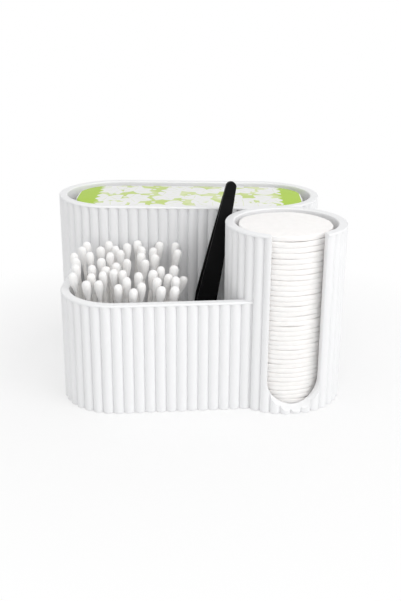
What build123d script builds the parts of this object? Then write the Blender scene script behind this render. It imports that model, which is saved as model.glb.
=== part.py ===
from build123d import *
import math
import os
import random

os.makedirs("parts", exist_ok=True)

# Makeup organizer: a tall stadium-shaped bin at the back, a round tower with a
# finger slot for cotton pads at the right, and a low tray at the front left.
# All outer walls are covered in upright half-round ribs.
# +X is to the right, +Y to the back, +Z up. The origin lies on the table,
# under the middle of the whole stocked organizer. Millimetres and degrees.

# Shells
BIN_HEIGHT = 113.0          # top of the tall bin and of the pad tower
WALL = 5.7                  # from the rib crests to the smooth inside
FLOOR = 3.0
SEAM = 0.05                 # bonded gap between neighbouring shells
COLLAR = 1.3                # plain band round each rim, above the ribs
RIM_ROUND = 0.9

# Ribs
RIB_PITCH = 6.5             # between two grooves
RIB_DEPTH = 2.2             # from collar to groove
CREST_INSET = 0.05          # from collar to crest

# Tall bin
TALL_STRAIGHT = 97.0
TALL_END_RADIUS = 40.5
TALL_GROOVE_START = 3.8     # first groove, right of the front wall's left end

# Pad tower
TOWER_RADIUS = 37.5
TOWER_OUTSET = 10.8         # how far its side stands out past the tall bin's end
TOWER_GROOVE_ANGLE = -3.6   # one groove, right of straight ahead
TOWER_FORWARD = 72.0        # its axis in front of the tall bin's middle line

# Finger slot in the tower
SLOT_WIDTH = 33.0
SLOT_ANGLE = 10.0           # right of straight ahead
SLOT_BOTTOM = 4.7           # lowest point of its round end
SLOT_EDGE = 5.5             # how far inside the crests its flare begins
SLOT_FLARE = 30.0

# Low tray
TRAY_INSET = 11.8           # its left wall stands in from the tall bin's end
TRAY_PROUD = 2.65           # its corner stands forward of the tower
TRAY_CORNER_RADIUS = 35.0
TRAY_SLANT = 6.8            # its front wall runs back towards the tower
TRAY_GROOVE_START = 2.3     # first groove on the front wall, past the corner

# Foot pads, in shallow recesses under the floors
FOOT_RADIUS = 6.0
FOOT_THICKNESS = 1.2
FOOT_PROUD = 0.3

# Cotton pads
PAD_RADIUS = 29.5
TOP_PAD_LESS = 0.6          # the top pad, not pressed out, is this much smaller
PAD_THICKNESS = 3.05
PAD_SQUEEZE = 0.09          # share that the lowest pad is thinner, the top one thicker
PAD_TOP_GAP = 1.8           # from the top pad to the rim
PAD_SHIFT = -0.4            # the stack leans on the tower's left side
PAD_EDGE_ROUND = 1.0

# Liners
LINER_END_GAP = 6.05        # to the tall bin's inside, at each end
LINER_SIDE_GAP = 5.5
LINER_LENGTH = TALL_STRAIGHT + 2 * (TALL_END_RADIUS - WALL - LINER_END_GAP)
LINER_WIDTH = 2 * (TALL_END_RADIUS - WALL - LINER_SIDE_GAP)
LINER_CORNER = 27.0
LINER_THICKNESS = 2.4
LINER_TOP_GAP = 2.0
LINER_SHIFT = 0.6
LINER_EDGE_ROUND = 0.8

# Cotton swabs
SWAB_LENGTH = 76.0
SWAB_PROUD = 5.0            # how much longer a swab is than the tray is high
TRAY_HEIGHT = SWAB_LENGTH - SWAB_PROUD
STICK_RADIUS = 1.2
BUD_RADIUS = 2.75
BUD_LENGTH = 13.0
BUD_TIP = 2.0               # cotton past the end of the stick
BUD_DROP = 0.1              # a leaning bud's side hangs this much below its tip
SWAB_COLUMNS = 9
SWAB_ROWS = 7
SWAB_FAN = 1.65             # tops stand this much further apart than feet
SWAB_STRAY = 5.5            # how far a top may lie from its place in the fan
SWAB_RISE = 2.0             # each row further back sits this much higher
SWAB_TRIES = 250
SWAB_FIELD_X = 31.0         # middle of the bunch, from the tray's inner left side
SWAB_FIELD_Y = 36.0         # and from the tray's inner front side
SWAB_FIELD_END = 67.0       # no top lies further right than this

# The one swab that lies loose at the bunch's right
LOOSE_TOP = (71.5, 38.0)    # from the same two sides
LOOSE_LEAN = 20.0

# Tweezers, tips down
TWEEZERS_LENGTH = 132.0
TWEEZERS_LEAN = 12.0
TWEEZERS_TURN = 10.0
TWEEZERS_SIDE = 24.0        # where they pass the tower's rim, back from its left
END_WIDTH = 6.6
END_LENGTH = 10.0
GRIP_WIDTH = 12.7
GRIP_HEIGHT = 55.0          # above the tips
TIP_WIDTH = 3.0
ARM_THICKNESS = 1.4
ARM_GAP = 0.35              # from the middle plane to each arm at the closed end
ARM_SPREAD = 3.4            # the same at the grips
TIP_SPREAD = 2.6            # and at the tips

# Clearances
REST_GAP = 0.3              # a loose piece and what it rests on or leans on
LAYER_GAP = 0.1             # between two pads or liners of one stack
BORE_GAP = 0.05             # a bud's bore and its stick
FOOT_GAP = 0.15             # round a foot pad in its recess
HINGE_GAP = 0.15            # an arm and the closed end
RIM_LAP = 0.25              # the tweezers' turned edge is nearer to the rim by this

# Places that follow from the sizes
WIDTH = TALL_STRAIGHT + 2 * TALL_END_RADIUS + TOWER_OUTSET
DEPTH = TALL_END_RADIUS + TOWER_FORWARD + TOWER_RADIUS + TRAY_PROUD
TALL_X = -WIDTH / 2 + TALL_END_RADIUS + TALL_STRAIGHT / 2
TALL_Y = DEPTH / 2 - TALL_END_RADIUS
TOWER_X = WIDTH / 2 - TOWER_RADIUS
TOWER_Y = TALL_Y - TOWER_FORWARD
TALL_END_X = TALL_X + TALL_STRAIGHT / 2
CENTRES = math.hypot(TOWER_X - TALL_END_X, TOWER_FORWARD)
CHORD_TURN = math.atan2(TOWER_X - TALL_END_X, TOWER_FORWARD)
CHORD_REACH = (CENTRES**2 + TOWER_RADIUS**2 - TALL_END_RADIUS**2) / (2 * CENTRES)
TRAY_LEFT = -WIDTH / 2 + TRAY_INSET
CORNER_X = TRAY_LEFT + TRAY_CORNER_RADIUS
CORNER_Y = -DEPTH / 2 + TRAY_CORNER_RADIUS
SLANT = math.radians(TRAY_SLANT)
INSIDE_FLOOR = FOOT_PROUD + FLOOR
FAR = 2 * WIDTH             # larger than any part of the organizer


def tall_point(s, out):
    """Point at length s round the tall bin's groove line, moved outwards."""
    r = TALL_END_RADIUS - RIB_DEPTH
    half_turn = math.pi * r
    s = s % (2 * TALL_STRAIGHT + 2 * half_turn)
    if s < TALL_STRAIGHT:
        x, y = s - TALL_STRAIGHT / 2, -(r + out)
    elif s < TALL_STRAIGHT + half_turn:
        a = (s - TALL_STRAIGHT) / r
        x, y = TALL_STRAIGHT / 2 + (r + out) * math.sin(a), -(r + out) * math.cos(a)
    elif s < 2 * TALL_STRAIGHT + half_turn:
        x, y = 1.5 * TALL_STRAIGHT + half_turn - s, r + out
    else:
        a = (s - 2 * TALL_STRAIGHT - half_turn) / r
        x, y = -TALL_STRAIGHT / 2 - (r + out) * math.sin(a), (r + out) * math.cos(a)
    return (TALL_X + x, TALL_Y + y)


def tower_point(s, out):
    """Point at length s round the tower's groove line, moved outwards."""
    r = TOWER_RADIUS - RIB_DEPTH
    a = s / r
    return (TOWER_X + (r + out) * math.sin(a), TOWER_Y - (r + out) * math.cos(a))


def tray_point(s, out):
    """Point on the tray's groove line, from the corner's end at s = 0, moved outwards."""
    r = TRAY_CORNER_RADIUS - RIB_DEPTH
    turn = (math.pi / 2 + SLANT) * r
    if s > 0:
        x = (r + out) * math.sin(SLANT) + s * math.cos(SLANT)
        y = -(r + out) * math.cos(SLANT) + s * math.sin(SLANT)
    elif s > -turn:
        a = SLANT + s / r
        x, y = (r + out) * math.sin(a), -(r + out) * math.cos(a)
    else:
        x, y = -(r + out), -s - turn
    return (CORNER_X + x, CORNER_Y + y)


def ribs(path, start, pitch, count, grow):
    """A row of half-round ribs: one arc from groove to groove over each crest."""
    crest = RIB_DEPTH - CREST_INSET + grow
    for i in range(count):
        s = start + i * pitch
        ThreePointArc(path(s, grow), path(s + pitch / 2, crest), path(s + pitch, grow))


def closed_ribs(path, start, length, grow):
    """Ribs all round a closed groove line, at the whole pitch nearest to RIB_PITCH."""
    count = round(length / RIB_PITCH)
    ribs(path, start, length / count, count, grow)


def ribbed_tall(grow=0.0):
    with BuildSketch() as outline:
        with BuildLine():
            round_ends = 2 * math.pi * (TALL_END_RADIUS - RIB_DEPTH)
            closed_ribs(tall_point, TALL_GROOVE_START, 2 * TALL_STRAIGHT + round_ends, grow)
        make_face()
    return outline.sketch


def tower_side(grow=0.0):
    """All that lies on the tower's side of the flat where it is bonded to the tall bin."""
    reach = CHORD_REACH + grow - FAR / 2
    x, y = TOWER_X - reach * math.sin(CHORD_TURN), TOWER_Y + reach * math.cos(CHORD_TURN)
    with BuildSketch() as side:
        with Locations(Location((x, y, 0), (0, 0, math.degrees(CHORD_TURN)))):
            Rectangle(FAR, FAR)
    return side.sketch


def ribbed_tower(grow=0.0):
    with BuildSketch() as outline:
        with BuildLine():
            r = TOWER_RADIUS - RIB_DEPTH
            closed_ribs(tower_point, math.radians(TOWER_GROOVE_ANGLE) * r, 2 * math.pi * r, grow)
        make_face()
        add(tower_side(grow), mode=Mode.INTERSECT)
    return outline.sketch


def plain_tower(grow=0.0):
    with BuildSketch() as outline:
        with Locations((TOWER_X, TOWER_Y)):
            Circle(TOWER_RADIUS + grow)
        add(tower_side(grow), mode=Mode.INTERSECT)
    return outline.sketch


def tray_outline(plain):
    """The tray's whole footprint before its neighbours are cut out of it."""
    r = TRAY_CORNER_RADIUS - RIB_DEPTH
    corner = (math.pi / 2 + SLANT) * r
    before = math.ceil((corner + TALL_Y - CORNER_Y + TRAY_GROOVE_START) / RIB_PITCH)
    after = math.ceil((TOWER_X - CORNER_X) / RIB_PITCH)
    start = TRAY_GROOVE_START - before * RIB_PITCH
    end = TRAY_GROOVE_START + after * RIB_PITCH
    with BuildSketch() as outline:
        with BuildLine() as edge:
            if plain:
                Line(tray_point(start, RIB_DEPTH), tray_point(-corner, RIB_DEPTH))
                ThreePointArc(
                    tray_point(-corner, RIB_DEPTH),
                    tray_point(-corner / 2, RIB_DEPTH),
                    tray_point(0, RIB_DEPTH),
                )
                Line(tray_point(0, RIB_DEPTH), tray_point(end, RIB_DEPTH))
            else:
                ribs(tray_point, start, RIB_PITCH, before + after, 0.0)
            Polyline(edge.line @ 1, (TOWER_X, TOWER_Y), (TALL_END_X, TALL_Y), edge.line @ 0)
        make_face()
    return outline.sketch


def foot_recesses(*centres):
    """Recesses for foot pads, in the underside of the part being built."""
    with BuildSketch() as recess:
        with Locations(*centres):
            Circle(FOOT_RADIUS + FOOT_GAP)
    extrude(recess.sketch, amount=FOOT_THICKNESS, mode=Mode.SUBTRACT)


# Tall bin, with the tower's footprint cut out of its front wall
with BuildPart() as tall_bin:
    with BuildSketch(Plane.XY.offset(FOOT_PROUD)):
        add(ribbed_tall())
    extrude(amount=BIN_HEIGHT - FOOT_PROUD - COLLAR)
    with BuildSketch(Plane.XY.offset(BIN_HEIGHT - COLLAR)):
        with Locations((TALL_X, TALL_Y)):
            SlotCenterToCenter(TALL_STRAIGHT, 2 * TALL_END_RADIUS)
    extrude(amount=COLLAR)
    with BuildSketch(Plane.XY.offset(INSIDE_FLOOR)):
        with Locations((TALL_X, TALL_Y)):
            SlotCenterToCenter(TALL_STRAIGHT, 2 * (TALL_END_RADIUS - WALL))
    extrude(amount=BIN_HEIGHT, mode=Mode.SUBTRACT)
    foot_recesses((TALL_X - TALL_STRAIGHT / 2, TALL_Y), (TALL_END_X, TALL_Y))
    fillet(tall_bin.faces().sort_by(Axis.Z)[-1].edges(), RIM_ROUND)
    with BuildSketch(Plane.XY.offset(FOOT_PROUD)):
        add(ribbed_tower(SEAM))
    extrude(amount=BIN_HEIGHT - FOOT_PROUD - COLLAR, mode=Mode.SUBTRACT)
    with BuildSketch(Plane.XY.offset(BIN_HEIGHT - COLLAR)):
        add(plain_tower(SEAM))
    extrude(amount=2 * COLLAR, mode=Mode.SUBTRACT)
tall_bin.part.label = "tall_bin"
export_step(tall_bin.part, "parts/tall_bin.step")

# Pad tower, with a flat back on the tall bin and the flared finger slot in front
slot_out = Vector(math.sin(math.radians(SLOT_ANGLE)), -math.cos(math.radians(SLOT_ANGLE)), 0)
slot_across = Vector(math.cos(math.radians(SLOT_ANGLE)), math.sin(math.radians(SLOT_ANGLE)), 0)
slot_plane = Plane(
    origin=Vector(TOWER_X, TOWER_Y, 0) + slot_out * (TOWER_RADIUS - SLOT_EDGE),
    x_dir=slot_across,
    z_dir=slot_out,
)
with BuildSketch(slot_plane) as slot_shape:
    with BuildLine():
        half = SLOT_WIDTH / 2
        top = 2 * BIN_HEIGHT
        Line((-half, SLOT_BOTTOM + half), (-half, top))
        Line((-half, top), (half, top))
        Line((half, top), (half, SLOT_BOTTOM + half))
        ThreePointArc((half, SLOT_BOTTOM + half), (0, SLOT_BOTTOM), (-half, SLOT_BOTTOM + half))
    make_face()
with BuildPart() as pad_tower:
    with BuildSketch(Plane.XY.offset(FOOT_PROUD)):
        add(ribbed_tower())
    extrude(amount=BIN_HEIGHT - FOOT_PROUD - COLLAR)
    with BuildSketch(Plane.XY.offset(BIN_HEIGHT - COLLAR)):
        with Locations((TOWER_X, TOWER_Y)):
            Circle(TOWER_RADIUS)
    extrude(amount=COLLAR)
    with BuildSketch(Plane.XY.offset(INSIDE_FLOOR)):
        with Locations((TOWER_X, TOWER_Y)):
            Circle(TOWER_RADIUS - WALL)
    extrude(amount=BIN_HEIGHT, mode=Mode.SUBTRACT)
    fillet(pad_tower.faces().sort_by(Axis.Z)[-1].edges(), RIM_ROUND)
    with BuildSketch():
        add(tower_side())
    extrude(amount=BIN_HEIGHT, mode=Mode.INTERSECT)
    extrude(slot_shape.sketch, amount=-(TOWER_RADIUS - SLOT_EDGE) / 2, mode=Mode.SUBTRACT)
    extrude(slot_shape.sketch, amount=2 * SLOT_EDGE, taper=-SLOT_FLARE, mode=Mode.SUBTRACT)
    foot_recesses((TOWER_X, TOWER_Y))
pad_tower.part.label = "pad_tower"
export_step(pad_tower.part, "parts/pad_tower.step")

# Low tray: a wall round two sides and a floor, fitted to its neighbours' ribs
with BuildPart() as swab_tray:
    with BuildSketch(Plane.XY.offset(FOOT_PROUD)):
        add(tray_outline(plain=False))
    extrude(amount=TRAY_HEIGHT - FOOT_PROUD - COLLAR)
    with BuildSketch(Plane.XY.offset(TRAY_HEIGHT - COLLAR)):
        add(tray_outline(plain=True))
    extrude(amount=COLLAR)
    with BuildSketch(Plane.XY.offset(INSIDE_FLOOR)):
        add(tray_outline(plain=True))
        offset(amount=-WALL, kind=Kind.INTERSECTION, mode=Mode.REPLACE)
    extrude(amount=BIN_HEIGHT, mode=Mode.SUBTRACT)
    fillet(swab_tray.faces().sort_by(Axis.Z)[-1].edges(), RIM_ROUND)
    with BuildSketch(Plane.XY.offset(FOOT_PROUD)):
        add(ribbed_tall(SEAM))
        add(ribbed_tower(SEAM))
    extrude(amount=BIN_HEIGHT, mode=Mode.SUBTRACT)
    foot_recesses((CORNER_X, CORNER_Y))
    # Between two ribs where the neighbours meet, a crumb of floor was cut off
    crumbs = swab_tray.solids().sort_by(SortBy.VOLUME)[:-1]
    if crumbs:
        add(crumbs, mode=Mode.SUBTRACT)
swab_tray.part.label = "swab_tray"
export_step(swab_tray.part, "parts/swab_tray.step")

# Foot pads under the two ends of the tall bin, the tower and the tray's corner
with BuildPart() as foot_pads:
    with BuildSketch():
        with Locations(
            (TALL_X - TALL_STRAIGHT / 2, TALL_Y),
            (TALL_END_X, TALL_Y),
            (TOWER_X, TOWER_Y),
            (CORNER_X, CORNER_Y),
        ):
            Circle(FOOT_RADIUS)
    extrude(amount=FOOT_THICKNESS)
foot_pads.part.label = "foot_pads"
export_step(foot_pads.part, "parts/foot_pads.step")


def layers(bottom, top, thickness, squeeze):
    """Heights of a stack's layers as (bottom, thickness), thinner low down."""
    count = int((top - bottom) / (thickness + LAYER_GAP))
    mean = (top - bottom) / count - LAYER_GAP
    z = bottom
    result = []
    for i in range(count):
        t = mean * (1 + squeeze * (2 * i / (count - 1) - 1))
        result.append((z, t))
        z += t + LAYER_GAP
    return result


def cotton_pad(z, thickness, radius=PAD_RADIUS):
    with BuildSketch(Plane.XY.offset(z)) as disc:
        with Locations((TOWER_X + PAD_SHIFT, TOWER_Y)):
            Circle(radius)
    extrude(disc.sketch, amount=thickness)


def liner(z, thickness):
    with BuildSketch(Plane.XY.offset(z)) as oblong:
        with Locations((TALL_X + LINER_SHIFT, TALL_Y)):
            RectangleRounded(LINER_LENGTH, LINER_WIDTH, LINER_CORNER)
    extrude(oblong.sketch, amount=thickness)


# Cotton pads: the stack, and the top one that is taken next
pad_layers = layers(
    INSIDE_FLOOR + REST_GAP, BIN_HEIGHT - PAD_TOP_GAP, PAD_THICKNESS, PAD_SQUEEZE
)
with BuildPart() as cotton_pads:
    for z, t in pad_layers[:-1]:
        cotton_pad(z, t)
    fillet(cotton_pads.edges().filter_by(GeomType.CIRCLE), PAD_EDGE_ROUND)
cotton_pads.part.label = "cotton_pads"
export_step(cotton_pads.part, "parts/cotton_pads.step")

with BuildPart() as top_cotton_pad:
    z, t = pad_layers[-1]
    cotton_pad(z + REST_GAP - LAYER_GAP, t, PAD_RADIUS - TOP_PAD_LESS)
    fillet(top_cotton_pad.edges().filter_by(GeomType.CIRCLE), PAD_EDGE_ROUND)
top_cotton_pad.part.label = "top_cotton_pad"
export_step(top_cotton_pad.part, "parts/top_cotton_pad.step")

# Liners: the stack, and the printed top one
liner_layers = layers(INSIDE_FLOOR + REST_GAP, BIN_HEIGHT - LINER_TOP_GAP, LINER_THICKNESS, 0.0)
with BuildPart() as liners:
    for z, t in liner_layers[:-1]:
        liner(z, t)
    fillet(liners.edges().filter_by(Plane.XY), LINER_EDGE_ROUND)
liners.part.label = "liners"
export_step(liners.part, "parts/liners.step")

with BuildPart() as top_liner:
    z, t = liner_layers[-1]
    liner(z + REST_GAP - LAYER_GAP, t)
    fillet(top_liner.edges().filter_by(Plane.XY), LINER_EDGE_ROUND)
top_liner.part.label = "top_liner"
export_step(top_liner.part, "parts/top_liner.step")

# One swab, upright on its own origin: a paper stick and two cotton buds
with BuildPart() as stick:
    with BuildSketch(Plane.XY.offset(BUD_TIP)):
        Circle(STICK_RADIUS)
    extrude(amount=SWAB_LENGTH - 2 * BUD_TIP)

with BuildPart() as bud:
    bore = STICK_RADIUS + BORE_GAP
    belly = 0.4 * BUD_LENGTH
    with BuildSketch(Plane.XZ):
        with BuildLine():
            Line((0, BUD_TIP - BORE_GAP), (0, 0))
            Bezier((0, 0), (0.8 * BUD_RADIUS, 0), (BUD_RADIUS, 0.3 * belly), (BUD_RADIUS, belly))
            Bezier((BUD_RADIUS, belly), (BUD_RADIUS, 1.9 * belly), (1.5 * bore, BUD_LENGTH - 1),
                   (1.2 * bore, BUD_LENGTH))
            Line((1.2 * bore, BUD_LENGTH), (bore, BUD_LENGTH))
            Line((bore, BUD_LENGTH), (bore, BUD_TIP - BORE_GAP))
            Line((bore, BUD_TIP - BORE_GAP), (0, BUD_TIP - BORE_GAP))
        make_face()
    revolve(axis=Axis.Z)

# Where each swab stands: its foot point and its direction
INNER_LEFT = TRAY_LEFT + WALL
INNER_FRONT = -DEPTH / 2 + WALL
BACK_LIMIT = TALL_Y - TALL_END_RADIUS


def swab(top_x, top_y, foot_x, foot_y, foot_z):
    """A swab from its foot towards the given top, as (foot, direction)."""
    foot = Vector(foot_x, foot_y, foot_z)
    run = Vector(top_x - foot_x, top_y - foot_y, 0)
    rise = math.sqrt(SWAB_LENGTH**2 - run.length**2)
    return foot, (run + Vector(0, 0, rise)).normalized()


def section(a_swab, z, reach):
    """A swab's place and radius at height z, or None where it has ended."""
    foot, direction = a_swab
    along = (z - foot.Z) / direction.Z
    if not -reach <= along <= SWAB_LENGTH + reach:
        return None
    near_end = min(along, SWAB_LENGTH - along) < BUD_LENGTH
    radius = BUD_RADIUS if near_end or reach else STICK_RADIUS
    return foot.X + along * direction.X, foot.Y + along * direction.Y, radius / direction.Z


def room(x, y, z):
    """Free distance from a point to the walls round it."""
    gap = min(BACK_LIMIT - y, math.hypot(x - TOWER_X, y - TOWER_Y) - TOWER_RADIUS)
    inner = TRAY_CORNER_RADIUS - WALL
    if z > TRAY_HEIGHT:
        return gap
    if x < CORNER_X and y < CORNER_Y:
        return min(gap, inner - math.hypot(x - CORNER_X, y - CORNER_Y))
    front = (x - CORNER_X) * math.sin(SLANT) - (y - CORNER_Y) * math.cos(SLANT)
    return min(gap, x - INNER_LEFT, inner - front)


def fits(new, placed):
    """Whether a swab stays clear of the tray and of the swabs already placed."""
    z = INSIDE_FLOOR
    while z < TRAY_HEIGHT + SWAB_LENGTH / 2:
        here = section(new, z, 0)
        if here and room(here[0], here[1], z) < here[2] + REST_GAP:
            return False
        for index, other in enumerate(placed):
            there = section(other, z, SWAB_LENGTH if index == 0 else 0)
            if here and there:
                apart = math.hypot(here[0] - there[0], here[1] - there[1])
                if apart < here[2] + there[2] + REST_GAP:
                    return False
        z += STICK_RADIUS
    return True


# The first swab placed is the loose one: it also keeps its way out clear
lean = math.radians(LOOSE_LEAN)
loose_x, loose_y = INNER_LEFT + LOOSE_TOP[0], INNER_FRONT + LOOSE_TOP[1]
loose_run = SWAB_LENGTH * math.sin(lean)
foot_level = INSIDE_FLOOR + REST_GAP + BUD_DROP
placed = [swab(loose_x, loose_y, loose_x - loose_run, loose_y, foot_level)]
chance = random.Random(4)
foot_pitch = 2 * BUD_RADIUS + 2 * REST_GAP
for row in range(SWAB_ROWS):
    for column in range(SWAB_COLUMNS):
        dx = foot_pitch * (column - (SWAB_COLUMNS - 1) / 2 + (row % 2) / 2 - 0.25)
        dy = foot_pitch * math.sqrt(0.75) * (row - (SWAB_ROWS - 1) / 2)
        centre_x, centre_y = INNER_LEFT + SWAB_FIELD_X, INNER_FRONT + SWAB_FIELD_Y
        for attempt in range(SWAB_TRIES):
            stray_x = chance.uniform(-SWAB_STRAY, SWAB_STRAY)
            stray_y = chance.uniform(-SWAB_STRAY, SWAB_STRAY)
            rise = chance.uniform(0, SWAB_RISE)
            candidate = swab(
                min(centre_x + SWAB_FAN * dx + stray_x, INNER_LEFT + SWAB_FIELD_END),
                centre_y + SWAB_FAN * dy + stray_y,
                centre_x + dx,
                centre_y + dy,
                foot_level + SWAB_RISE * row + (rise if row else 0),
            )
            if fits(candidate, placed):
                placed.append(candidate)
                break
print("swabs placed:", len(placed))


def places(swabs, flipped):
    """Locations for a swab's pieces: standing on its foot, or turned over from its top."""
    result = []
    for foot, direction in swabs:
        if flipped:
            plane = Plane(origin=foot + direction * SWAB_LENGTH, z_dir=-direction)
        else:
            plane = Plane(origin=foot, z_dir=direction)
        result.append(plane.location)
    return result


for name, piece, swabs, flipped in (
    ("swab_sticks", stick, placed[1:], False),
    ("swab_lower_buds", bud, placed[1:], False),
    ("swab_upper_buds", bud, placed[1:], True),
    ("loose_swab_stick", stick, placed[:1], False),
    ("loose_swab_lower_bud", bud, placed[:1], False),
    ("loose_swab_upper_bud", bud, placed[:1], True),
):
    with BuildPart() as group:
        with Locations(*places(swabs, flipped)):
            add(piece.part)
    group.part.label = name
    export_step(group.part, "parts/" + name + ".step")

# Tweezers, modelled upright on their tips: X across the faces, Y through them
arm_top = TWEEZERS_LENGTH - END_LENGTH - HINGE_GAP


def arm_face():
    """Outline of one arm's broad face: narrow tips, wide grips, narrow closed end."""
    with BuildSketch(Plane.XZ) as face:
        with BuildLine():
            neck = END_WIDTH / 2 + 0.037 * END_LENGTH
            Polyline(
                (-TIP_WIDTH / 2, 0),
                (-GRIP_WIDTH / 2, GRIP_HEIGHT),
                (-neck, arm_top),
                (neck, arm_top),
                (GRIP_WIDTH / 2, GRIP_HEIGHT),
                (TIP_WIDTH / 2, TIP_WIDTH / 3),
                close=True,
            )
        make_face()
        fillet(face.vertices().group_by(Axis.Y)[2], GRIP_WIDTH)
    return face.sketch


def arm_side(side):
    """One arm seen edge on: a bowed strip, on the front (-1) or the back (1)."""
    outer = ARM_THICKNESS
    with BuildSketch(Plane.YZ) as strip:
        with BuildLine():
            ThreePointArc((side * TIP_SPREAD, 0), (side * ARM_SPREAD, GRIP_HEIGHT),
                          (side * ARM_GAP, arm_top))
            Line((side * ARM_GAP, arm_top), (side * (ARM_GAP + outer), arm_top))
            ThreePointArc((side * (ARM_GAP + outer), arm_top),
                          (side * (ARM_SPREAD + outer), GRIP_HEIGHT),
                          (side * (TIP_SPREAD + outer), 0))
            Line((side * (TIP_SPREAD + outer), 0), (side * TIP_SPREAD, 0))
        make_face()
    return strip.sketch


# The axis passes the tower's rim on its left, and stands on the tray's floor
turn = math.radians(TWEEZERS_SIDE)
rim_reach = TOWER_RADIUS + END_WIDTH / 2 - RIM_LAP
lean = math.radians(TWEEZERS_LEAN)
tip_height = INSIDE_FLOOR + REST_GAP - TIP_WIDTH / 2 * math.sin(lean)
drop = BIN_HEIGHT - tip_height
tweezers_plane = Plane(
    origin=(
        TOWER_X - rim_reach * math.cos(turn) - drop * math.tan(lean),
        TOWER_Y + rim_reach * math.sin(turn),
        tip_height,
    ),
    x_dir=(math.cos(lean), 0, -math.sin(lean)),
    z_dir=(math.sin(lean), 0, math.cos(lean)),
).rotated((0, 0, TWEEZERS_TURN))

with BuildPart() as end_piece:
    with BuildSketch(Plane.XZ.offset(-(ARM_GAP + ARM_THICKNESS))):
        with BuildLine():
            half = END_WIDTH / 2
            low = TWEEZERS_LENGTH - END_LENGTH
            neck = half + 0.037 * END_LENGTH
            Line((neck, low), (half, TWEEZERS_LENGTH - half))
            ThreePointArc((half, TWEEZERS_LENGTH - half), (0, TWEEZERS_LENGTH),
                          (-half, TWEEZERS_LENGTH - half))
            Line((-half, TWEEZERS_LENGTH - half), (-neck, low))
            Line((-neck, low), (neck, low))
        make_face()
    extrude(amount=2 * (ARM_GAP + ARM_THICKNESS))
    fillet(end_piece.edges().filter_by(GeomType.CIRCLE), 0.5)

with BuildPart() as arm_blank:
    extrude(arm_face(), amount=GRIP_WIDTH, both=True)

arms = {}
for name, side in (("tweezers_front_arm", -1), ("tweezers_back_arm", 1)):
    with BuildPart() as arm:
        extrude(arm_side(side), amount=GRIP_WIDTH, both=True)
        add(arm_blank.part, mode=Mode.INTERSECT)
    arms[name] = arm.part

for name, shape in (("tweezers_end", end_piece.part), *arms.items()):
    with BuildPart() as placed_piece:
        with Locations(tweezers_plane.location):
            add(shape)
    placed_piece.part.label = name
    export_step(placed_piece.part, "parts/" + name + ".step")
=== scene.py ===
import math
import random

import bmesh
import bpy
import numpy as np
from mathutils import Matrix, Vector


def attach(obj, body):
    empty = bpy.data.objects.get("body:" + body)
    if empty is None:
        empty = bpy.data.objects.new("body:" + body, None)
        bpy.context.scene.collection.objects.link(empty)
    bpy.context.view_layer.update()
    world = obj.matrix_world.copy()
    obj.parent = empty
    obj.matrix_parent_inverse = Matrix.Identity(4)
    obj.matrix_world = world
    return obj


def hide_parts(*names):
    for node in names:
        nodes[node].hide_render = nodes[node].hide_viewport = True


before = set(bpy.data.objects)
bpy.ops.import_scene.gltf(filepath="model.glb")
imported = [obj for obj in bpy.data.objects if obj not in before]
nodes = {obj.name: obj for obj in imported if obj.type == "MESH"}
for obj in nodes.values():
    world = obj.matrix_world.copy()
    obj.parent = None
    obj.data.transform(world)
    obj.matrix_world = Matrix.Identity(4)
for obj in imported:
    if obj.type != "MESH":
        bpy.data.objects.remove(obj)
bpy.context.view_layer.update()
MM = 0.001

# Camera: place and turn fitted to the photo's rims and walls
CAMERA_AT = (14.6 * MM, -560.5 * MM, 252.3 * MM)
CAMERA_YAW = -1.10
CAMERA_PITCH = 20.09
CAMERA_ROLL = 0.32
FOCAL_PIXELS = 882.0
IMAGE_HEIGHT = 601
SENSOR = 36.0

# Colours, as they render in plain light
SHELL_WHITE = (0.89, 0.893, 0.90)
COTTON_WHITE = (0.97, 0.95, 0.935)
BUD_WHITE = (0.975, 0.965, 0.955)
PAPER_WHITE = (0.95, 0.935, 0.915)
PRINT_GREEN = (0.42, 0.62, 0.045)
PRINT_FIELD = (0.55, 0.68, 0.20)
PRINT_PALE = (0.70, 0.77, 0.44)
PRINT_WHITE = (0.86, 0.86, 0.86)
RUBBER_WHITE = (0.70, 0.70, 0.68)

# Leaf print on the top liner
FAN_SPACING = 22 * MM
FAN_ANGLES = (48, 96)
LEAF_LENGTH = 16.5 * MM
LEAF_WIDTH = 5.0 * MM
LEAF_SOFT = 0.15 * MM
VEIN = 0.22 * MM
BERRY_SPACING = 11 * MM
BERRY_RADIUS = 1.3 * MM
END_BAND = 17 * MM
SCALLOP = 9 * MM
HEM = 1.2 * MM

TWEEZERS_BLACK = (0.0035, 0.0035, 0.0038)

# Swabs, as in the CAD source
SWAB_LENGTH = 76.0 * MM
BUD_RADIUS = 2.75 * MM

# Soft pads: each solid is plumped at both faces. Edge is the rounded rim, the shares place the rings of
# a face, rough, wave and pillow are the unevenness, and crown and press belong to the top pad
PLUMP = 0.04 * MM
PAD_EDGE = 0.8 * MM
PAD_TURNS = 120
PAD_SHARES = (0.15, 0.3, 0.45, 0.6, 0.72, 0.82, 0.9)
PAD_ROUGH = 0.35 * MM
PAD_WAVE = 0.22 * MM
PAD_PILLOW = 0.2 * MM
PAD_CROWN = 0.6 * MM
PAD_PRESS = 0.5 * MM

# Soft liners: the same, with the rings squeezed into the outer inset
LINER_EDGE = 1.1 * MM
LINER_CORNER = 24.0 * MM
LINER_INSET = 6 * MM
LINER_TURNS = 120
LINER_SHARES = (0.5, 0.9)
LINER_ROUGH = 0.3 * MM
LINER_WAVE = 0.2 * MM
LINER_CROWN = 0.9 * MM
TOP_LINER_TURNS = 200
TOP_LINER_SHARES = (0.2, 0.4, 0.6, 0.75, 0.86, 0.92, 0.955)

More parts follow.
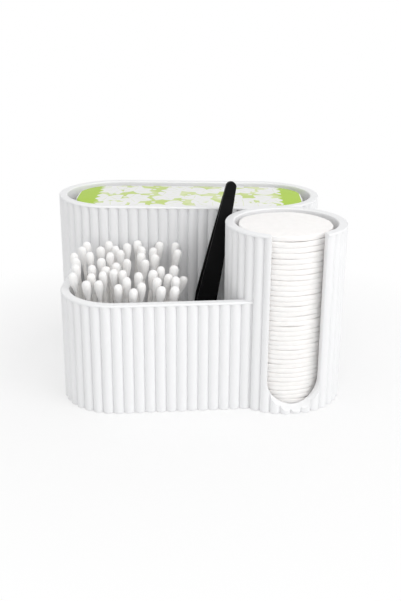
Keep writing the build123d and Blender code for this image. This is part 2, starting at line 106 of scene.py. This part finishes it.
# Half the outline of a bud, from its tip: (height in mm, share of the bud's radius)
BUD_PROFILE = ((0.2, 0.38), (0.55, 0.60), (1.1, 0.80), (2.0, 0.94), (3.2, 1.0), (4.6, 1.0), (6.0, 0.95),
               (7.4, 0.87), (8.8, 0.76), (10.2, 0.65), (11.4, 0.56), (12.4, 0.49), (13.0, 0.455))
BUD_FOOT = 13.05 * MM
BUD_TURNS = 20
BUD_TWIST = 260.0
BUD_DENT = 0.09
BUD_WIND = 0.05
BUD_LARGEST = 1.12 * BUD_RADIUS

# Light: place, size and power of each lamp, the point that all face, and the world's level
LAMPS = {"key": ((0.86, -0.72, 0.80), 1.0, 5.4), "front": ((-0.05, -1.3, 0.75), 0.9, 2.0),
         "top": ((0.0, -0.2, 1.3), 1.0, 2.9)}
LAMP_TARGET = (0.0, 0.0, 0.05)
WORLD_LEVEL = 0.65

# Floor: half its width, and its paint. Its own white, for the camera and in gloss, is from near the
# object to further away
FLOOR_REACH = 6
FLOOR_WHITE = (0.9, 0.9, 0.9)
FLOOR_PATCH = (0.89, 0.89, 0.89)
FLOOR_GLOW = (0.55, 1.0)
GLOW_REACH = (0.12, 0.26)


def camera():
    """The photo's camera."""
    yaw, pitch, roll = (math.radians(a) for a in (CAMERA_YAW, CAMERA_PITCH, CAMERA_ROLL))
    flat = math.cos(pitch)
    forward = Vector((math.sin(yaw) * flat, math.cos(yaw) * flat, -math.sin(pitch)))
    level = Vector((math.cos(yaw), -math.sin(yaw), 0.0))
    upright = level.cross(forward)
    right = math.cos(roll) * level + math.sin(roll) * upright
    up = right.cross(forward)
    turn = Matrix((right, up, -forward)).transposed().to_4x4()
    data = bpy.data.cameras.new("photo_camera")
    data.sensor_fit = "VERTICAL"
    data.sensor_height = SENSOR
    data.lens = FOCAL_PIXELS / IMAGE_HEIGHT * SENSOR
    data.clip_start = 0.01
    eye = bpy.data.objects.new("photo_camera", data)
    eye.matrix_world = Matrix.Translation(CAMERA_AT) @ turn
    bpy.context.scene.collection.objects.link(eye)
    bpy.context.scene.camera = eye


def lamp(name, at, size, power):
    """A white round lamp that points at the part."""
    data = bpy.data.lights.new(name, "AREA")
    data.shape = "DISK"
    data.size = size
    data.energy = power
    light = bpy.data.objects.new(name, data)
    light.location = at
    light.rotation_euler = (Vector(LAMP_TARGET) - Vector(at)).to_track_quat("-Z", "Y").to_euler()
    bpy.context.scene.collection.objects.link(light)


class Nodes:
    """Short way to build a material's node tree."""

    def __init__(self, name):
        self.material = bpy.data.materials.new(name)
        self.material.use_nodes = True
        self.tree = self.material.node_tree
        self.shader = self.tree.nodes["Principled BSDF"]

    def add(self, kind, inputs=None, **settings):
        node = self.tree.nodes.new(kind)
        for key, value in settings.items():
            setattr(node, key, value)
        for key, value in (inputs or {}).items():
            self.put(node.inputs[key], value)
        return node

    def put(self, socket, value):
        if isinstance(value, bpy.types.NodeSocket):
            self.tree.links.new(value, socket)
        elif socket.type == "RGBA":
            socket.default_value = (*value, 1.0)
        else:
            socket.default_value = value

    def place(self):
        return self.add("ShaderNodeTexCoord").outputs["Object"]

    def noise(self, scale, detail=2.0, at=None, roughness=0.5):
        node = self.add("ShaderNodeTexNoise", {"Scale": scale, "Detail": detail, "Roughness": roughness,
                                               "Vector": at or self.place()})
        return node.outputs["Fac"]

    def math(self, operation, *values):
        node = self.add("ShaderNodeMath", operation=operation)
        for index, value in enumerate(values):
            self.put(node.inputs[index], value)
        return node.outputs[0]

    def spread(self, value, low, high, start=0.0, end=1.0):
        node = self.add("ShaderNodeMapRange", {"Value": value, "From Min": start, "From Max": end,
                                               "To Min": low, "To Max": high})
        return node.outputs["Result"]

    def mix(self, share, first, second):
        node = self.add("ShaderNodeMix", data_type="RGBA")
        for key, value in ((0, share), (6, first), (7, second)):
            self.put(node.inputs[key], value)
        return node.outputs[2]

    def bump(self, height, distance, strength=1.0, below=None):
        inputs = {"Height": height, "Distance": distance, "Strength": strength}
        if below:
            inputs["Normal"] = below
        return self.add("ShaderNodeBump", inputs).outputs["Normal"]

    def finish(self, **sockets):
        for key, value in sockets.items():
            self.put(self.shader.inputs[key.replace("_", " ")], value)
        return self.material


def shell_plastic():
    m = Nodes("shell_plastic")
    patch = m.noise(9.0, 3.0)
    shade = tuple(0.985 * c for c in SHELL_WHITE)
    tone = m.mix(m.spread(patch, 0.0, 1.0, 0.3, 0.7), SHELL_WHITE, shade)
    skin = m.bump(m.noise(1400.0, 2.0), 0.00003, 0.5)
    return m.finish(Base_Color=tone, Roughness=m.spread(m.noise(60.0), 0.36, 0.46), Normal=skin,
                    Specular_IOR_Level=0.45, Subsurface_Weight=0.1, Subsurface_Radius=(1.0, 1.0, 1.0),
                    Subsurface_Scale=0.003)


def foot_rubber():
    m = Nodes("foot_rubber")
    grain = m.noise(900.0, 4.0)
    tone = m.mix(grain, RUBBER_WHITE, tuple(0.9 * c for c in RUBBER_WHITE))
    return m.finish(Base_Color=tone, Roughness=0.75, Normal=m.bump(grain, 0.00006, 0.6))


def cotton(name, colour, fibre_scale, depth):
    m = Nodes(name)
    place = m.place()
    fibres = m.noise(fibre_scale, 6.0, place, 0.65)
    tufts = m.noise(fibre_scale / 6.0, 3.0, place)
    tone = m.mix(m.spread(tufts, 0.0, 1.0, 0.35, 0.65), colour, tuple(0.965 * c for c in colour))
    normal = m.bump(fibres, depth, 0.7, m.bump(tufts, 3.0 * depth, 0.5))
    return m.finish(Base_Color=tone, Roughness=0.95, Normal=normal, Specular_IOR_Level=0.15,
                    Sheen_Weight=0.3, Sheen_Roughness=0.5, Subsurface_Weight=0.15,
                    Subsurface_Radius=(1.0, 0.92, 0.88), Subsurface_Scale=0.0015)


def stick_paper():
    m = Nodes("stick_paper")
    grain = m.noise(700.0, 5.0)
    tone = m.mix(grain, PAPER_WHITE, tuple(0.94 * c for c in PAPER_WHITE))
    return m.finish(Base_Color=tone, Roughness=0.8, Normal=m.bump(grain, 0.00004, 0.5),
                    Subsurface_Weight=0.15, Subsurface_Radius=(1.0, 0.95, 0.9), Subsurface_Scale=0.001)


def black_steel():
    m = Nodes("black_steel")
    grain = m.noise(500.0, 4.0)
    patch = m.noise(45.0, 3.0)
    tone = m.mix(patch, TWEEZERS_BLACK, tuple(1.6 * c for c in TWEEZERS_BLACK))
    return m.finish(Base_Color=tone, Roughness=m.spread(grain, 0.42, 0.55),
                    Normal=m.bump(grain, 0.00002, 0.4), Specular_IOR_Level=0.10)


def printed_wrap(centre, half_length):
    """Soft wrap printed with fans of white leaves on pale green, and solid green ends."""
    m = Nodes("printed_wrap")
    split = m.add("ShaderNodeSeparateXYZ", {"Vector": m.place()}).outputs
    flat = m.add("ShaderNodeCombineXYZ", {"X": split["X"], "Y": split["Y"]}).outputs[0]

    def leaf(across, along, length, width):
        """1 inside a pointed leaf that grows along its own axis, less on the vein."""
        share = m.math("MULTIPLY_ADD", along, 2.0 / length, -1.0)
        room = m.math("MULTIPLY_ADD", m.math("MULTIPLY", share, share), -width, width)
        side = m.math("ABSOLUTE", across)
        blade = m.spread(m.math("SUBTRACT", room, side), 0.0, 1.0, -LEAF_SOFT, LEAF_SOFT)
        vein = m.math("MULTIPLY", m.spread(side, 1.0, 0.0, VEIN, VEIN + LEAF_SOFT),
                      m.spread(share, 1.0, 0.0, 0.45, 0.55))
        return m.math("MULTIPLY", blade, m.math("MULTIPLY_ADD", vein, -0.45, 1.0))

    # One fan in each cell, turned at random: a middle leaf and two pairs beside it
    cells = {"Vector": flat, "Scale": 1.0 / FAN_SPACING, "Randomness": 0.45}
    cell = m.add("ShaderNodeTexVoronoi", cells, voronoi_dimensions="2D").outputs
    offset = m.add("ShaderNodeVectorMath", {0: flat, 1: cell["Position"]}, operation="SUBTRACT")
    chance = m.add("ShaderNodeSeparateColor", {"Color": cell["Color"]}).outputs[0]
    spin = m.math("MULTIPLY", chance, 2 * math.pi)
    turned = m.add("ShaderNodeVectorRotate", {"Vector": offset.outputs[0], "Angle": spin},
                   rotation_type="Z_AXIS")
    local = m.add("ShaderNodeSeparateXYZ", {"Vector": turned.outputs[0]}).outputs
    side = m.math("ABSOLUTE", local["X"])
    along = m.math("ADD", local["Y"], 0.25 * LEAF_LENGTH)
    white = leaf(local["X"], along, LEAF_LENGTH, LEAF_WIDTH)
    for angle in FAN_ANGLES:
        cos, sin = math.cos(math.radians(angle)), math.sin(math.radians(angle))
        a = m.math("MULTIPLY_ADD", side, cos, m.math("MULTIPLY", along, -sin))
        b = m.math("MULTIPLY_ADD", side, sin, m.math("MULTIPLY", along, cos))
        white = m.math("MAXIMUM", white, leaf(a, b, 0.9 * LEAF_LENGTH, LEAF_WIDTH))
    # Berries between the leaves
    cells = {"Vector": flat, "Scale": 1.0 / BERRY_SPACING, "Randomness": 0.8}
    dots = m.add("ShaderNodeTexVoronoi", cells, voronoi_dimensions="2D").outputs["Distance"]
    size = BERRY_RADIUS / BERRY_SPACING
    berry = m.spread(dots, 1.0, 0.0, size, size + 0.03)
    white = m.math("MAXIMUM", white, berry)
    ground = m.mix(m.spread(m.noise(55.0, 2.0, flat), 0.0, 1.0, 0.40, 0.55), PRINT_PALE, PRINT_FIELD)
    field = m.mix(white, ground, PRINT_WHITE)
    # The solid ends have a scalloped inner edge
    reach = m.math("ABSOLUTE", m.math("SUBTRACT", split["X"], centre[0]))
    scallop = m.math("ABSOLUTE", m.math("SINE", m.math("MULTIPLY", split["Y"], math.pi / SCALLOP)))
    edge = m.math("MULTIPLY_ADD", scallop, 0.35 * SCALLOP, half_length - END_BAND)
    solid = m.spread(m.math("SUBTRACT", reach, edge), 0.0, 1.0, -LEAF_SOFT, LEAF_SOFT)
    hem = m.spread(m.math("SUBTRACT", half_length - HEM, reach), 1.0, 0.0, -LEAF_SOFT, LEAF_SOFT)
    tone = m.mix(hem, m.mix(solid, field, PRINT_GREEN), PRINT_WHITE)
    weave = m.noise(1600.0, 4.0)
    return m.finish(Base_Color=tone, Roughness=0.6, Normal=m.bump(weave, 0.00005, 0.4),
                    Specular_IOR_Level=0.3, Sheen_Weight=0.15)


def dress(material, *names):
    """The material on whole CAD nodes."""
    for name in names:
        node = nodes[name]
        node.data.materials.clear()
        node.data.materials.append(material)


def solids_of(node):
    """The vertices of each separate solid in a CAD node, lowest solid first."""
    bm = bmesh.new()
    bm.from_mesh(nodes[node].data)
    bmesh.ops.remove_doubles(bm, verts=bm.verts, dist=1e-7)
    left = set(bm.verts)
    found = []
    while left:
        todo = [left.pop()]
        island = []
        while todo:
            vert = todo.pop()
            island.append(tuple(vert.co))
            for edge in vert.link_edges:
                other = edge.other_vert(vert)
                if other in left:
                    left.remove(other)
                    todo.append(other)
        found.append(np.array(island))
    bm.free()
    return sorted(found, key=lambda points: points[:, 2].mean())


def mesh_object(name, verts, faces, material, body):
    """A smooth piece of the scene that rides on a body."""
    data = bpy.data.meshes.new(name)
    data.from_pydata([tuple(v) for v in verts], [], faces)
    data.update()
    data.shade_smooth()
    data.materials.append(material)
    piece = bpy.data.objects.new(name, data)
    bpy.context.scene.collection.objects.link(piece)
    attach(piece, body)
    return piece


def lathe(profile, turns, shape):
    """A closed surface of revolution: profile rows of (radius, height), first and last on the axis.
    shape(angle, radius, height) returns the point."""
    verts = [shape(0.0, *profile[0])]
    faces = []
    rows = len(profile) - 2
    for row in range(1, rows + 1):
        for k in range(turns):
            verts.append(shape(2 * math.pi * k / turns, *profile[row]))
    verts.append(shape(0.0, *profile[-1]))
    last = len(verts) - 1
    for k in range(turns):
        n = (k + 1) % turns
        faces.append((0, 1 + n, 1 + k))
        for row in range(rows - 1):
            a, b = 1 + row * turns, 1 + (row + 1) * turns
            faces.append((a + k, a + n, b + n, b + k))
        faces.append((last, last - turns + k, last - turns + n))
    return verts, faces


def wobble(seed, waves, amount):
    """A smooth closed wave in angle with mixed frequencies."""
    chance = random.Random(seed)
    parts = [(n, chance.uniform(0, 2 * math.pi), chance.uniform(0.4, 1.0) / n**0.5) for n in waves]
    scale = amount / sum(p[2] for p in parts)
    return lambda angle: scale * sum(p[2] * math.sin(p[0] * angle + p[1]) for p in parts)


def cotton_pad(name, points, seed, material, body, crown=0.0):
    """A soft pressed disc in the place of a CAD pad: full edge, faintly uneven outline and faces."""
    low, high = points.min(0), points.max(0)
    centre = (low + high) / 2
    radius = (high[0] - low[0]) / 2
    half = (high[2] - low[2]) / 2 + PLUMP
    profile = [(0.0, -half)] + [(share * radius, -half) for share in PAD_SHARES]
    for step in range(9):
        angle = -math.pi / 2 + math.pi * step / 8
        bulge = PAD_EDGE * math.cos(angle) ** 0.4 if step % 8 else 0.0
        profile.append((radius - PAD_EDGE + bulge, half * math.sin(angle)))
    profile += [(share * radius, half) for share in reversed(PAD_SHARES)] + [(0.0, half)]
    outline = wobble(seed, (2, 3, 5, 9, 14, 23), PAD_ROUGH)
    wave = wobble(seed + 1000, (2, 3, 4, 7, 11), PAD_WAVE)
    pillow = wobble(seed + 2000, (3, 5, 6), PAD_PILLOW)

    def shape(angle, r, z):
        share = r / radius
        out = r + outline(angle) * share**4
        lift = wave(angle) * share**2 + pillow(angle + 4 * share) * share
        if crown and z > 0:
            lift += crown * (1 - share**2) - PAD_PRESS * math.exp(-((share - 0.88) / 0.05) ** 2)
        return (centre[0] + out * math.cos(angle), centre[1] + out * math.sin(angle),
                centre[2] + z + lift)

    verts, faces = lathe(profile, PAD_TURNS, shape)
    return mesh_object(name, verts, faces, material, body)


def rounded_outline(half_x, half_y, corner):
    """Point and outward normal at an angle, 0 to 2 pi, on the way round a rounded rectangle."""
    arc = math.pi * corner / 2
    sides = (2 * (half_x - corner), 2 * (half_y - corner))
    lap = 2 * sum(sides) + 4 * arc

    def rim(angle):
        s = (angle / (2 * math.pi) * lap + sides[0] / 2) % lap
        for quarter in range(4):
            side = sides[quarter % 2]
            turn = math.pi / 2 * quarter
            near = (half_y, half_x)[quarter % 2] - corner
            if s < side + arc:
                bend = max(0.0, s - side) / corner
                x = min(s, side) - side / 2 + corner * math.sin(bend)
                y = -near - corner * math.cos(bend)
                cos, sin = math.cos(turn), math.sin(turn)
                nx, ny = math.sin(bend), -math.cos(bend)
                return x * cos - y * sin, x * sin + y * cos, nx * cos - ny * sin, nx * sin + ny * cos
            s -= side + arc
        return rim(0.0)
    return rim


def liner(name, points, seed, material, body, crown=0.0):
    """A soft oblong liner in the place of a CAD one, with a pressed edge and faintly uneven faces."""
    low, high = points.min(0), points.max(0)
    centre = (low + high) / 2
    radius = (high[1] - low[1]) / 2
    half = (high[2] - low[2]) / 2 + PLUMP
    shares = TOP_LINER_SHARES if crown else LINER_SHARES
    profile = [(0.0, -half)] + [(share * radius, -half) for share in shares]
    for step in range(7):
        angle = -math.pi / 2 + math.pi * step / 6
        bulge = LINER_EDGE * max(0.0, math.cos(angle)) ** 0.7
        profile.append((radius - LINER_EDGE + bulge, half * math.sin(angle)))
    profile += [(share * radius, half) for share in reversed(shares)] + [(0.0, half)]
    rim = rounded_outline((high[0] - low[0]) / 2, radius, LINER_CORNER)
    outline = wobble(seed, (2, 5, 9, 16), LINER_ROUGH)
    wave = wobble(seed + 700, (2, 3, 5, 8), LINER_WAVE)

    def shape(angle, r, z):
        share = r / radius
        x, y, nx, ny = rim(angle)
        back = min(radius - r, LINER_INSET) - outline(angle) * share**4
        scale = min(1.0, r / (radius - LINER_INSET))
        lift = wave(angle) * share**2
        if crown and z > 0:
            lift += crown * (1 - share**4) - 0.45 * crown * math.exp(-((share - 0.9) / 0.03) ** 2)
        return (centre[0] + scale * (x - back * nx), centre[1] + scale * (y - back * ny),
                centre[2] + z + lift)

    verts, faces = lathe(profile, TOP_LINER_TURNS if crown else LINER_TURNS, shape)
    return mesh_object(name, verts, faces, material, body)


def bud_mesh(name, ends, material, body):
    """Cotton buds, one for each (tip, direction): wound cotton, fullest near the tip."""
    profile = [(share * BUD_RADIUS, z * MM) for z, share in BUD_PROFILE]
    profile = [(0.0, 0.0)] + profile + [(0.0, BUD_FOOT)]
    verts, faces = [], []
    for index, (tip, direction) in enumerate(ends):
        across = Vector(direction).orthogonal().normalized()
        side = Vector(direction).cross(across)
        swell = random.Random(index).uniform(0.97, 1.03)
        dent = wobble(index, (1, 2, 3), BUD_DENT)
        wind = wobble(index + 500, (1, 2), BUD_WIND)

        def shape(angle, r, z):
            dented = dent(angle + 90.0 * z) * min(1.0, z / 0.002) + wind(angle + BUD_TWIST * z)
            r = min(r * swell * (1 + dented), BUD_LARGEST)
            turn = across * (r * math.cos(angle)) + side * (r * math.sin(angle))
            return Vector(tip) + direction * z + turn

        more, quads = lathe(profile, BUD_TURNS, shape)
        faces += [tuple(len(verts) + i for i in face) for face in quads]
        verts += more
    return mesh_object(name, verts, faces, material, body)


def swab_lines(node):
    """(foot, direction) of each swab, from its stick in the CAD."""
    found = []
    for points in solids_of(node):
        middle = points.mean(0)
        axis = np.linalg.svd(points - middle, full_matrices=False)[2][0]
        axis = axis if axis[2] > 0 else -axis
        along = (points - middle) @ axis
        start = middle + axis * (along.min() + along.max()) / 2
        found.append((Vector(start - axis * SWAB_LENGTH / 2), Vector(axis)))
    return found


def pale_floor():
    """A pale sheet that the camera and gloss see brighter away from the object."""
    m = Nodes("floor")
    m.tree.nodes.remove(m.shader)
    paint = m.mix(m.noise(3.0), FLOOR_WHITE, FLOOR_PATCH)
    diffuse = m.add("ShaderNodeBsdfDiffuse", {"Color": paint})
    glow = m.add("ShaderNodeEmission", {"Color": (1.0, 1.0, 1.0), "Strength": 1.0})
    ray = m.add("ShaderNodeLightPath")
    seen = m.math("MAXIMUM", ray.outputs["Is Camera Ray"], ray.outputs["Is Glossy Ray"])
    away = m.add("ShaderNodeVectorMath", {0: m.place()}, operation="LENGTH").outputs["Value"]
    share = m.math("MULTIPLY", seen, m.spread(away, *FLOOR_GLOW, *GLOW_REACH))
    blend = m.add("ShaderNodeMixShader", {0: share})
    m.tree.links.new(diffuse.outputs[0], blend.inputs[1])
    m.tree.links.new(glow.outputs[0], blend.inputs[2])
    m.tree.links.new(blend.outputs[0], m.tree.nodes["Material Output"].inputs["Surface"])
    corners = ((-1, -1), (1, -1), (1, 1), (-1, 1))
    data = bpy.data.meshes.new("floor")
    data.from_pydata([(x * FLOOR_REACH, y * FLOOR_REACH, 0) for x, y in corners], [], [(0, 1, 2, 3)])
    data.materials.append(m.material)
    floor = bpy.data.objects.new("floor", data)
    bpy.context.scene.collection.objects.link(floor)


def level_world():
    """Level light from all sides, white to the camera."""
    world = bpy.data.worlds.new("studio")
    world.use_nodes = True
    tree = world.node_tree
    back = tree.nodes["Background"]
    back.inputs["Color"].default_value = (1.0, 1.0, 1.0, 1.0)
    ray = tree.nodes.new("ShaderNodeLightPath")
    level = tree.nodes.new("ShaderNodeMapRange")
    level.inputs["To Min"].default_value = WORLD_LEVEL
    level.inputs["To Max"].default_value = 1.0
    tree.links.new(ray.outputs["Is Camera Ray"], level.inputs["Value"])
    tree.links.new(level.outputs["Result"], back.inputs["Strength"])
    bpy.context.scene.world = world


camera()

shell = shell_plastic()
pad_cotton = cotton("pad_cotton", COTTON_WHITE, 1500.0, 0.00012)
bud_cotton = cotton("bud_cotton", BUD_WHITE, 1800.0, 0.0001)
liner_cloth = cotton("liner_cloth", COTTON_WHITE, 900.0, 0.00008)
dress(shell, "tall_bin", "pad_tower", "swab_tray")
dress(foot_rubber(), "foot_pads")
dress(stick_paper(), "swab_sticks", "loose_swab_stick")
dress(black_steel(), "tweezers_end", "tweezers_front_arm", "tweezers_back_arm")

# Cotton pads
for number, points in enumerate(solids_of("cotton_pads")):
    pad = cotton_pad(f"cotton_pad_{number:02d}", points, number, pad_cotton, "pad_stack")
    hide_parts("cotton_pads")
pad = cotton_pad("cotton_pad_top", solids_of("top_cotton_pad")[0], 99, pad_cotton, "top_pad", PAD_CROWN)
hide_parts("top_cotton_pad")

# Liners
for number, points in enumerate(solids_of("liners")):
    soft = liner(f"liner_{number:02d}", points, number, liner_cloth, "liner_stack")
    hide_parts("liners")
top = solids_of("top_liner")[0]
wrap = printed_wrap((top.min(0) + top.max(0)) / 2, (top.max(0) - top.min(0))[0] / 2)
soft = liner("liner_top", top, 77, wrap, "printed_liner", LINER_CROWN)
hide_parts("top_liner")

# Swab buds
for prefix, body in (("swab", "swab_bunch"), ("loose_swab", "loose_swab")):
    lines = swab_lines("swab_sticks" if prefix == "swab" else "loose_swab_stick")
    ending = "s" if prefix == "swab" else ""
    lower = bud_mesh(prefix + "_lower_cotton", lines, bud_cotton, body)
    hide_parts(prefix + "_lower_bud" + ending)
    tops = [(foot + way * SWAB_LENGTH, -way) for foot, way in lines]
    upper = bud_mesh(prefix + "_upper_cotton", tops, bud_cotton, body)
    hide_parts(prefix + "_upper_bud" + ending)

# Stage and light
pale_floor()
level_world()
for lamp_name, settings in LAMPS.items():
    lamp(lamp_name, *settings)
bpy.context.scene.view_settings.view_transform = "Standard"
